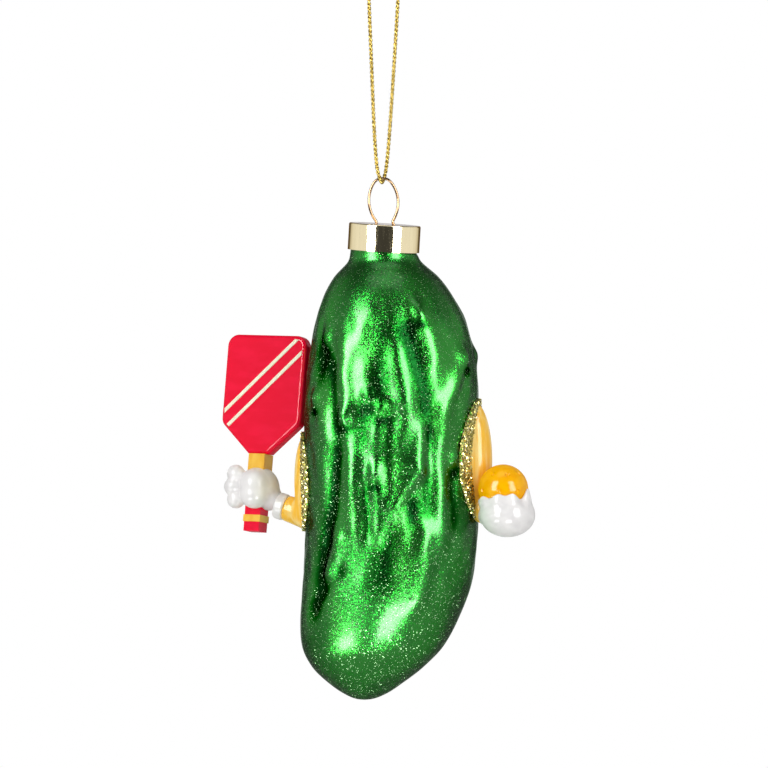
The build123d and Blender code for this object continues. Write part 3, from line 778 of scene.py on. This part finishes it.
# %% Sums on sockets
class Socket:
    """An output of a node tree. Arithmetic on it adds Math nodes and gives the new output."""

    def __init__(self, tree, output=None):
        self.tree = tree
        self.output = output

    def add(self, kind, settings=(), sockets=(), output=0):
        """Adds a node of a kind: its settings first, a ramp's stops among them, then values or links."""
        node = self.tree.nodes.new(kind)
        for name, value in dict(settings).items():
            if name == "stops":
                for _ in value[2:]:
                    node.color_ramp.elements.new(0.5)
                for element, (place, tint) in zip(node.color_ramp.elements, value):
                    element.position = place
                    element.color = tint
            else:
                setattr(node, name, value)
        for name, value in dict(sockets).items():
            self.feed(node.inputs[name], value)
        return Socket(self.tree, node.outputs[output])

    def feed(self, target_socket, value):
        """Links a wrapped socket to an input, or sets the input's value."""
        if isinstance(value, Socket):
            self.tree.links.new(value.output, target_socket)
        else:
            target_socket.default_value = value

    def math(self, operation, *values):
        """A Math node on the values."""
        return self.add("ShaderNodeMath", {"operation": operation}, dict(enumerate(values)))

    def vector(self, operation, *values):
        """A Vector Math node on the vectors."""
        return self.add("ShaderNodeVectorMath", {"operation": operation}, dict(enumerate(values)))

    def mix(self, factor, first, second):
        """A colour between two colours."""
        return self.add("ShaderNodeMix", {"data_type": "RGBA"}, {0: factor, 6: first, 7: second}, 2)

    def ease(self, low, high):
        """0 below low, 1 above high, smooth between."""
        sockets = {0: self, 1: low, 2: high, 3: 0.0, 4: 1.0}
        return self.add("ShaderNodeMapRange", {"interpolation_type": "SMOOTHSTEP"}, sockets)

    def __add__(self, other):
        return self.math("ADD", self, other)

    __radd__ = __add__

    def __sub__(self, other):
        return self.math("SUBTRACT", self, other)

    def __rsub__(self, other):
        return self.math("SUBTRACT", other, self)

    def __mul__(self, other):
        return self.math("MULTIPLY", self, other)

    __rmul__ = __mul__


def colour(red, green, blue):
    """A screen colour from 0 to 255 as linear light."""
    share = np.array([red, green, blue]) / 255.0
    linear = np.where(share <= 0.04045, share / 12.92, ((share + 0.055) / 1.055) ** 2.4)
    return (*linear.tolist(), 1.0)


def new_finish(name, **constants):
    """A material with one shader, whose constants are set on the shader's own sockets."""
    material = bpy.data.materials.new(name)
    material.use_nodes = True
    shader = material.node_tree.nodes["Principled BSDF"]
    for socket, value in constants.items():
        shader.inputs[socket.replace("_", " ")].default_value = value
    return material, shader.inputs, Socket(material.node_tree)


def object_place(maker):
    """The place on the object, in metres."""
    return maker.add("ShaderNodeTexCoord", (), (), "Object")


def noise(maker, place, size_mm, detail, stretch=(1.0, 1.0, 1.0)):
    """Soft noise whose blobs are about size_mm across, stretched along the axes."""
    scale = [1.0 / factor for factor in stretch]
    mapped = maker.add("ShaderNodeMapping", (), {"Vector": place, "Scale": scale})
    sockets = {"Vector": mapped, "Scale": 1.0 / (size_mm * MM), "Detail": detail}
    return maker.add("ShaderNodeTexNoise", (), sockets)


def cells(maker, place, size_mm, output):
    """Cells about size_mm across: a random colour, or the distance to the cell's middle."""
    return maker.add("ShaderNodeTexVoronoi", (), {"Vector": place, "Scale": 1.0 / (size_mm * MM)}, output)


def bump(maker, height, distance_mm, strength):
    """A normal bent by a height."""
    sockets = {"Height": height, "Distance": distance_mm * MM, "Strength": strength}
    return maker.add("ShaderNodeBump", (), sockets)


# %% [markdown]
# Lacquered glass
#
# Silvered glass under green lacquer reflects like tinted metal. The furrows and the places below the warts
# get
# painted shade: a darker lacquer colour and less of the clear coat, partly also lacquer that pools there. The
# fine
# glitter is a crowd of tiny mirrors: each cell of a fine pattern leans the surface its own way, and a few
# paler, rougher ones lean a lot and flash.

# %% Green lacquer
LACQUER = colour(17, 104, 26)
LACQUER_PALE = colour(34, 126, 36)
# The pooled colour is painted shade, for the furrows and below the warts.
LACQUER_POOLED = colour(5, 44, 12)
LACQUER_EDGE = colour(40, 112, 46)
FLAKE_PALE = colour(150, 196, 142)
FLASH_SHARE = 0.028
FLAKE_CELL = 0.14
GRAIN_LEAN = 0.16
FLASH_LEAN = 0.6
LACQUER_ROUGHNESS = 0.23
FLASH_ROUGHNESS = 0.20
COAT_LEAST = 0.08
COAT_SPREAD = 0.17
# Painted shade: the clear coat is gone where the pooled shade reaches this value.
COAT_POOLED = 0.55


def green_lacquer():
    """Tinted metal under a coat. Its normal is the surface's own plus a random vector for each cell, scaled
    by the grain's lean or the flash's."""
    material, shader, maker = new_finish(
        "green_lacquer", Metallic=1.0, Coat_Roughness=0.20, Coat_IOR=2.2, Specular_Tint=LACQUER_EDGE
    )
    place = object_place(maker)
    pool = maker.add("ShaderNodeAttribute", {"attribute_name": "pooled"}, (), "Fac")
    cloud = noise(maker, place, 9.0, 3.0, (1.0, 1.0, 2.0))
    body = maker.mix(cloud.ease(0.38, 0.66), LACQUER, LACQUER_PALE)
    # Painted shade: the colour goes towards the pooled colour where the pooled shade is high.
    body = maker.mix(pool.ease(0.05, 1.0), body, LACQUER_POOLED)
    lean = cells(maker, place, FLAKE_CELL, "Color")
    grit, luck = [maker.add("ShaderNodeSeparateColor", (), {0: lean}, part) for part in (0, 2)]
    flash = luck.math("GREATER_THAN", luck, 1.0 - FLASH_SHARE)
    centred = maker.vector("SUBTRACT", lean, (0.5, 0.5, 0.5))
    amount = GRAIN_LEAN * 2 + (FLASH_LEAN - GRAIN_LEAN) * 2 * flash
    tilt = maker.add("ShaderNodeVectorMath", {"operation": "SCALE"}, {0: centred, 3: amount})
    normal = maker.add("ShaderNodeNewGeometry", (), (), "Normal")
    turned = maker.vector("NORMALIZE", maker.vector("ADD", normal, tilt))
    # Painted shade also takes the clear coat away where the pooled shade is high.
    coat = (COAT_LEAST + COAT_SPREAD * grit) * (1.0 - pool.ease(0.0, COAT_POOLED))
    maker.feed(shader["Base Color"], maker.mix(flash, body, FLAKE_PALE))
    maker.feed(shader["Roughness"], LACQUER_ROUGHNESS + FLASH_ROUGHNESS * flash)
    maker.feed(shader["Coat Weight"], coat)
    maker.feed(shader["Normal"], turned)
    return material


# %% [markdown]
# Gold
#
# The cap is thin pressed brass with a bright pale plating. The wire is the same but darker, and the thread is
# a metallic tape, crinkled along its length.

# %% Gold finishes
CAP_GOLD = colour(240, 226, 186)
WIRE_GOLD = colour(146, 120, 92)
THREAD_GOLD = colour(188, 166, 90)
# The thread's darker colour is painted shade for the low places of the crinkles.
THREAD_SHADE = colour(84, 68, 26)
GOLD_EDGE = colour(120, 92, 56)
STREAK_SHADE = 0.93


def plated(name, tint, roughness, brushed_mm):
    """Bright plating with faint upright streaks, darker, rougher and slightly raised."""
    material, shader, maker = new_finish(name, Metallic=1.0, Specular_Tint=GOLD_EDGE)
    shade = [STREAK_SHADE * part for part in tint[:3]] + [1.0]
    place = object_place(maker)
    streak = noise(maker, place, brushed_mm, 3.0, (1.0, 1.0, 12.0))
    maker.feed(shader["Base Color"], maker.mix(streak.ease(0.3, 0.75), tint, shade))
    maker.feed(shader["Roughness"], roughness + 0.10 * streak.ease(0.45, 0.8))
    maker.feed(shader["Normal"], bump(maker, streak, 0.01, 0.25))
    return material


def gold_tape():
    """Metal tape with painted shade: its crinkles are darker where they are low."""
    material, shader, maker = new_finish("gold_tape", Metallic=1.0)
    place = object_place(maker)
    crinkle = noise(maker, place, 0.22, 2.0)
    # Painted shade in the low places of the crinkles.
    maker.feed(shader["Base Color"], maker.mix(crinkle.ease(0.35, 0.62), THREAD_SHADE, THREAD_GOLD))
    maker.feed(shader["Roughness"], 0.22 + 0.25 * crinkle)
    maker.feed(shader["Normal"], bump(maker, crinkle, 0.05, 0.6))
    return material


# %% [markdown]
# Painted resin
#
# The arms, gloves, paddle and ball are hand painted and glossy. Brush strokes leave faint streaks, the colour
# is a little uneven, and the clear top coat has a soft orange peel.

# %% Paint finishes
PAINT_PEEL = 1.4
EVEN = (1.0, 1.0, 1.0)
# Each paint: its colour and its streaks' colour, the streaks' size in millimetres and their stretch along the
# axes, the roughness and the weight of the clear coat.
PAINTS = {
    "yellow": (colour(252, 194, 62), colour(255, 222, 138), 2.4, (0.55, 0.55, 5.0), 0.22, 0.45),
    "handle": (colour(250, 200, 80), colour(244, 184, 58), 2.0, (1.0, 1.0, 3.0), 0.24, 0.45),
    "white": (colour(238, 236, 235), colour(228, 226, 226), 3.0, EVEN, 0.3, 0.45),
    "red": (colour(240, 4, 50), colour(246, 12, 58), 2.2, (3.0, 3.0, 1.0), 0.2, 0.38),
    "cream": (colour(252, 246, 224), colour(246, 236, 206), 1.2, EVEN, 0.3, 0.45),
    "orange": (colour(255, 184, 0), colour(250, 172, 0), 2.4, EVEN, 0.2, 0.45),
}


def painted(name, tint, shade, streak_mm, stretch, roughness, coat):
    """Streaky paint under a clear coat, with a bump of orange peel and streaks."""
    material, shader, maker = new_finish(
        name, Specular_IOR_Level=0.0, Coat_Weight=coat, Coat_Roughness=0.05, Coat_IOR=1.5
    )
    place = object_place(maker)
    streak = noise(maker, place, streak_mm, 3.0, stretch)
    speck = noise(maker, place, 0.5, 1.0)
    maker.feed(shader["Base Color"], maker.mix(streak.ease(0.42, 0.68), tint, shade))
    maker.feed(shader["Roughness"], roughness + 0.12 * speck)
    peel = noise(maker, place, PAINT_PEEL, 2.0) + 0.35 * streak
    maker.feed(shader["Normal"], bump(maker, peel, 0.06, 0.5))
    return material


# %% [markdown]
# Glitter plates
#
# Each plate keeps one random number, which sets its colour between dark olive and pale gold: a painted
# reflection, as foil looks when it mirrors the dark or the bright side of a room.

# %% Glitter finish
GLUE_CELL = 0.4


def glitter_foil():
    """Foil coloured along a ramp by each plate's number, a painted reflection from dark to bright. A brighter
    plate is smoother.
    """
    material, shader, maker = new_finish("glitter_foil", Metallic=1.0)
    flash = maker.add("ShaderNodeAttribute", {"attribute_name": "flash"}, (), "Fac")
    # Painted reflection: dark olive for a plate that mirrors the dark side, pale gold for one that mirrors
    # the bright side.
    stops = [
        (0.0, colour(96, 92, 44)),
        (0.28, colour(168, 164, 92)),
        (0.55, colour(222, 214, 140)),
        (0.82, colour(252, 246, 200)),
    ]
    ramp = maker.add("ShaderNodeValToRGB", {"stops": stops}, {0: flash})
    maker.feed(shader["Base Color"], ramp)
    maker.feed(shader["Roughness"], 0.30 - 0.15 * flash)
    return material


def glitter_glue():
    """Glue full of small grains: cells of random gold, bumped by the distance to each cell's middle."""
    material, shader, maker = new_finish("glitter_glue", Metallic=0.6)
    place = object_place(maker)
    grain = cells(maker, place, GLUE_CELL, "Distance")
    luck = maker.add("ShaderNodeSeparateColor", (), {0: cells(maker, place, GLUE_CELL, "Color")}, 0)
    maker.feed(shader["Base Color"], maker.mix(luck, colour(70, 68, 24), colour(190, 180, 96)))
    maker.feed(shader["Roughness"], 0.35 + 0.2 * luck)
    maker.feed(shader["Normal"], bump(maker, grain, 0.12, 0.8))
    return material


# %% Finishes onto CAD pieces
def dress(piece, material):
    """The piece gets one material in all its slots."""
    slots = piece.data.materials
    if not slots:
        slots.append(material)
    for index in range(len(slots)):
        slots[index] = material


lacquer = green_lacquer()
tape = gold_tape()
cap_plating = plated("cap_plating", CAP_GOLD, 0.07, 0.6)
wire_plating = plated("wire_plating", WIRE_GOLD, 0.12, 4.0)
paints = {name: painted(f"{name}_paint", *row) for name, row in PAINTS.items()}
foil = glitter_foil()
glue = glitter_glue()

for material, nodes in [
    (cap_plating, ["cap"]),
    (wire_plating, ["hanger_wire"]),
    (glue, ["paddle_arm_trim", "ball_arm_trim"]),
    (paints["white"], ["paddle_cuff", "ball_cuff"]),
    (paints["red"], ["paddle_blade", "paddle_grip"]),
    (paints["cream"], ["paddle_stripes"]),
    (paints["handle"], ["paddle_handle", "paddle_grip_band"]),
    (paints["orange"], ["ball"]),
]:
    for node in nodes:
        dress(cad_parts[node], material)
print(len(bpy.data.materials), "materials")

# %% [markdown]
# Bodies
#
# Every new piece gets its finish, moves with a CAD body and takes the place of the plain solid that it models
# again. The glitter plates replace none, because the CAD bead under them stays.

# %% New pieces onto bodies
for piece, material, body, slot, node in [
    (thread, tape, "cord", "gold_thread", "hanging_cord"),
    (knot, tape, "cord", "gold_thread", "cord_knot"),
    (glass, lacquer, "pickle", "green_glass", "pickle_glass"),
    (paddle_arm, paints["yellow"], "pickle", "yellow_resin", "paddle_arm"),
    (ball_arm, paints["yellow"], "pickle", "yellow_resin", "ball_arm"),
    (fist, paints["white"], "pickle", "white_resin", "paddle_glove"),
    (cupped, paints["white"], "pickle", "white_resin", "ball_glove"),
    (paddle_glitter, foil, "pickle", "gold_glitter", None),
    (ball_glitter, foil, "pickle", "gold_glitter", None),
]:
    dress(piece, material)
    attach(piece, body)
    if node:
        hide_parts(node)

# %% [markdown]
# The studio
#
# Two tall softboxes stand left and right of the camera, as the two white bands on the cap show, and the gap
# between them is dark. Each has a stronger twin for gloss only. Two small lamps below, also for gloss only,
# make the spots near the pickle's end. A weaker softbox hangs above. The floor lies well below the pickle.

# %% Floor
FLOOR_DROP = 300.0
FLOOR_RADIUS = 1000.0
FLOOR_CLEAR = 260.0
FLOOR_FADED = 0.92
FLOOR_WHITE = 0.5
FLOOR_RINGS = 12
FLOOR_SIDES = 96


def floor_disc():
    """Rings at even steps of the radius, closed in the middle only."""
    angle = np.linspace(0.0, 2 * pi, FLOOR_SIDES, endpoint=False)
    radius = np.linspace(0.05, 1.0, FLOOR_RINGS)[:, None] * FLOOR_RADIUS
    x = radius * np.cos(angle)
    y = radius * np.sin(angle)
    grid = np.stack([x, y, np.full_like(x, -FLOOR_DROP)], axis=-1)
    faces = ring_faces(FLOOR_RINGS, FLOOR_SIDES)[: FLOOR_RINGS * FLOOR_SIDES]
    return new_piece("floor", ring_points(grid)[:-1], faces)


def floor_paper():
    """Paper that goes from half to all plain white away from the middle, for the camera only."""
    material, shader, maker = new_finish("floor_paper", Roughness=0.9)
    place = object_place(maker)
    grain = noise(maker, place, 6.0, 3.0)
    maker.feed(shader["Base Color"], maker.mix(grain, colour(243, 243, 242), colour(247, 247, 246)))
    x, y = [maker.add("ShaderNodeSeparateXYZ", (), {0: place}, axis) for axis in (0, 1)]
    radius = maker.math("SQRT", x * x + y * y)
    away = radius.ease(FLOOR_CLEAR * MM, FLOOR_FADED * FLOOR_RADIUS * MM)
    camera_ray = maker.add("ShaderNodeLightPath", (), (), "Is Camera Ray")
    white = maker.add("ShaderNodeEmission", (), {"Strength": 1.0})
    nodes = material.node_tree.nodes
    plain = Socket(material.node_tree, nodes["Principled BSDF"].outputs[0])
    share = camera_ray * (FLOOR_WHITE + (1.0 - FLOOR_WHITE) * away)
    surface = maker.add("ShaderNodeMixShader", (), {0: share, 1: plain, 2: white})
    maker.feed(nodes["Material Output"].inputs["Surface"], surface)
    return material


floor = floor_disc()
dress(floor, floor_paper())

# %% World and lamps
AMBIENT = 0.36
CEILING_DIM = 0.75
CEILING_EDGES = (0.25, 0.80)
# Grey levels of the room in shiny surfaces, from straight before the object to straight behind it.
ROOM_STOPS = [
    (0.00, 0.05), (0.10, 0.06), (0.16, 0.50), (0.25, 0.95),
    (0.86, 1.00), (0.90, 0.35), (0.955, 0.30), (0.975, 1.00),
]


def studio_world():
    """White to the camera and one grey for matt surfaces. Shiny ones see a room with a dim ceiling, dark in
    front and white behind."""
    world = bpy.data.worlds.new("studio")
    world.use_nodes = True
    bpy.context.scene.world = world
    maker = Socket(world.node_tree)
    direction = maker.add("ShaderNodeTexCoord", (), (), "Generated")
    away, high = [maker.add("ShaderNodeSeparateXYZ", (), {0: direction}, axis) for axis in (1, 2)]
    stops = [(place, (level, level, level, 1.0)) for place, level in ROOM_STOPS]
    seen = maker.add("ShaderNodeValToRGB", {"stops": stops}, {0: 0.5 + 0.5 * away})
    rays = [
        maker.add("ShaderNodeLightPath", (), (), name)
        for name in ("Is Camera Ray", "Is Glossy Ray", "Is Transmission Ray")
    ]
    shiny = maker.math("MAXIMUM", rays[1], rays[2])
    ceiling = 1.0 - CEILING_DIM * high.ease(*CEILING_EDGES)
    soft = shiny * seen * ceiling + (1.0 - shiny) * AMBIENT
    level = rays[0] + (1.0 - rays[0]) * soft
    background = world.node_tree.nodes["Background"].inputs
    maker.feed(background["Strength"], level)
    maker.feed(background["Color"], (1.0, 1.0, 1.0, 1.0))


def softbox(name, azimuth, height, distance, width, tall, power, gloss_only):
    """An area lamp round the object, its azimuth counted from the camera towards the ball's side. One for
    gloss only adds no light to matt surfaces."""
    lamp = bpy.data.lights.new(name, "AREA")
    lamp.shape = "RECTANGLE"
    lamp.size = width
    lamp.size_y = tall
    lamp.energy = power
    place = target + Vector(distance * from_below(90.0 + height, azimuth))
    holder = bpy.data.objects.new(name, lamp)
    holder.location = place
    holder.rotation_euler = (target - place).to_track_quat("-Z", "Y").to_euler()
    holder.visible_diffuse = not gloss_only
    bpy.context.scene.collection.objects.link(holder)


# Each lamp: azimuth and height in degrees, distance, width and tallness in metres, watts, gloss only or not.
LAMPS = {
    "softbox_left": (-42.0, 18.0, 0.9, 0.40, 0.70, 3.6, False),
    "softbox_right": (42.0, 14.0, 0.9, 0.40, 0.70, 2.7, False),
    "softbox_top": (0.0, 78.0, 0.9, 0.7, 0.5, 1.4, False),
    "shine_left": (-42.0, 18.0, 0.89, 0.40, 0.70, 14.0, True),
    "shine_right": (42.0, 14.0, 0.89, 0.40, 0.70, 11.0, True),
    "shine_low_left": (-46.0, -38.0, 0.3, 0.10, 0.07, 0.5, True),
    "shine_low_right": (12.0, -40.0, 0.3, 0.10, 0.10, 0.8, True),
}

studio_world()
for name, row in LAMPS.items():
    softbox(name, *row)
bpy.context.scene.view_settings.view_transform = "Standard"
print(len(LAMPS), "lamps")
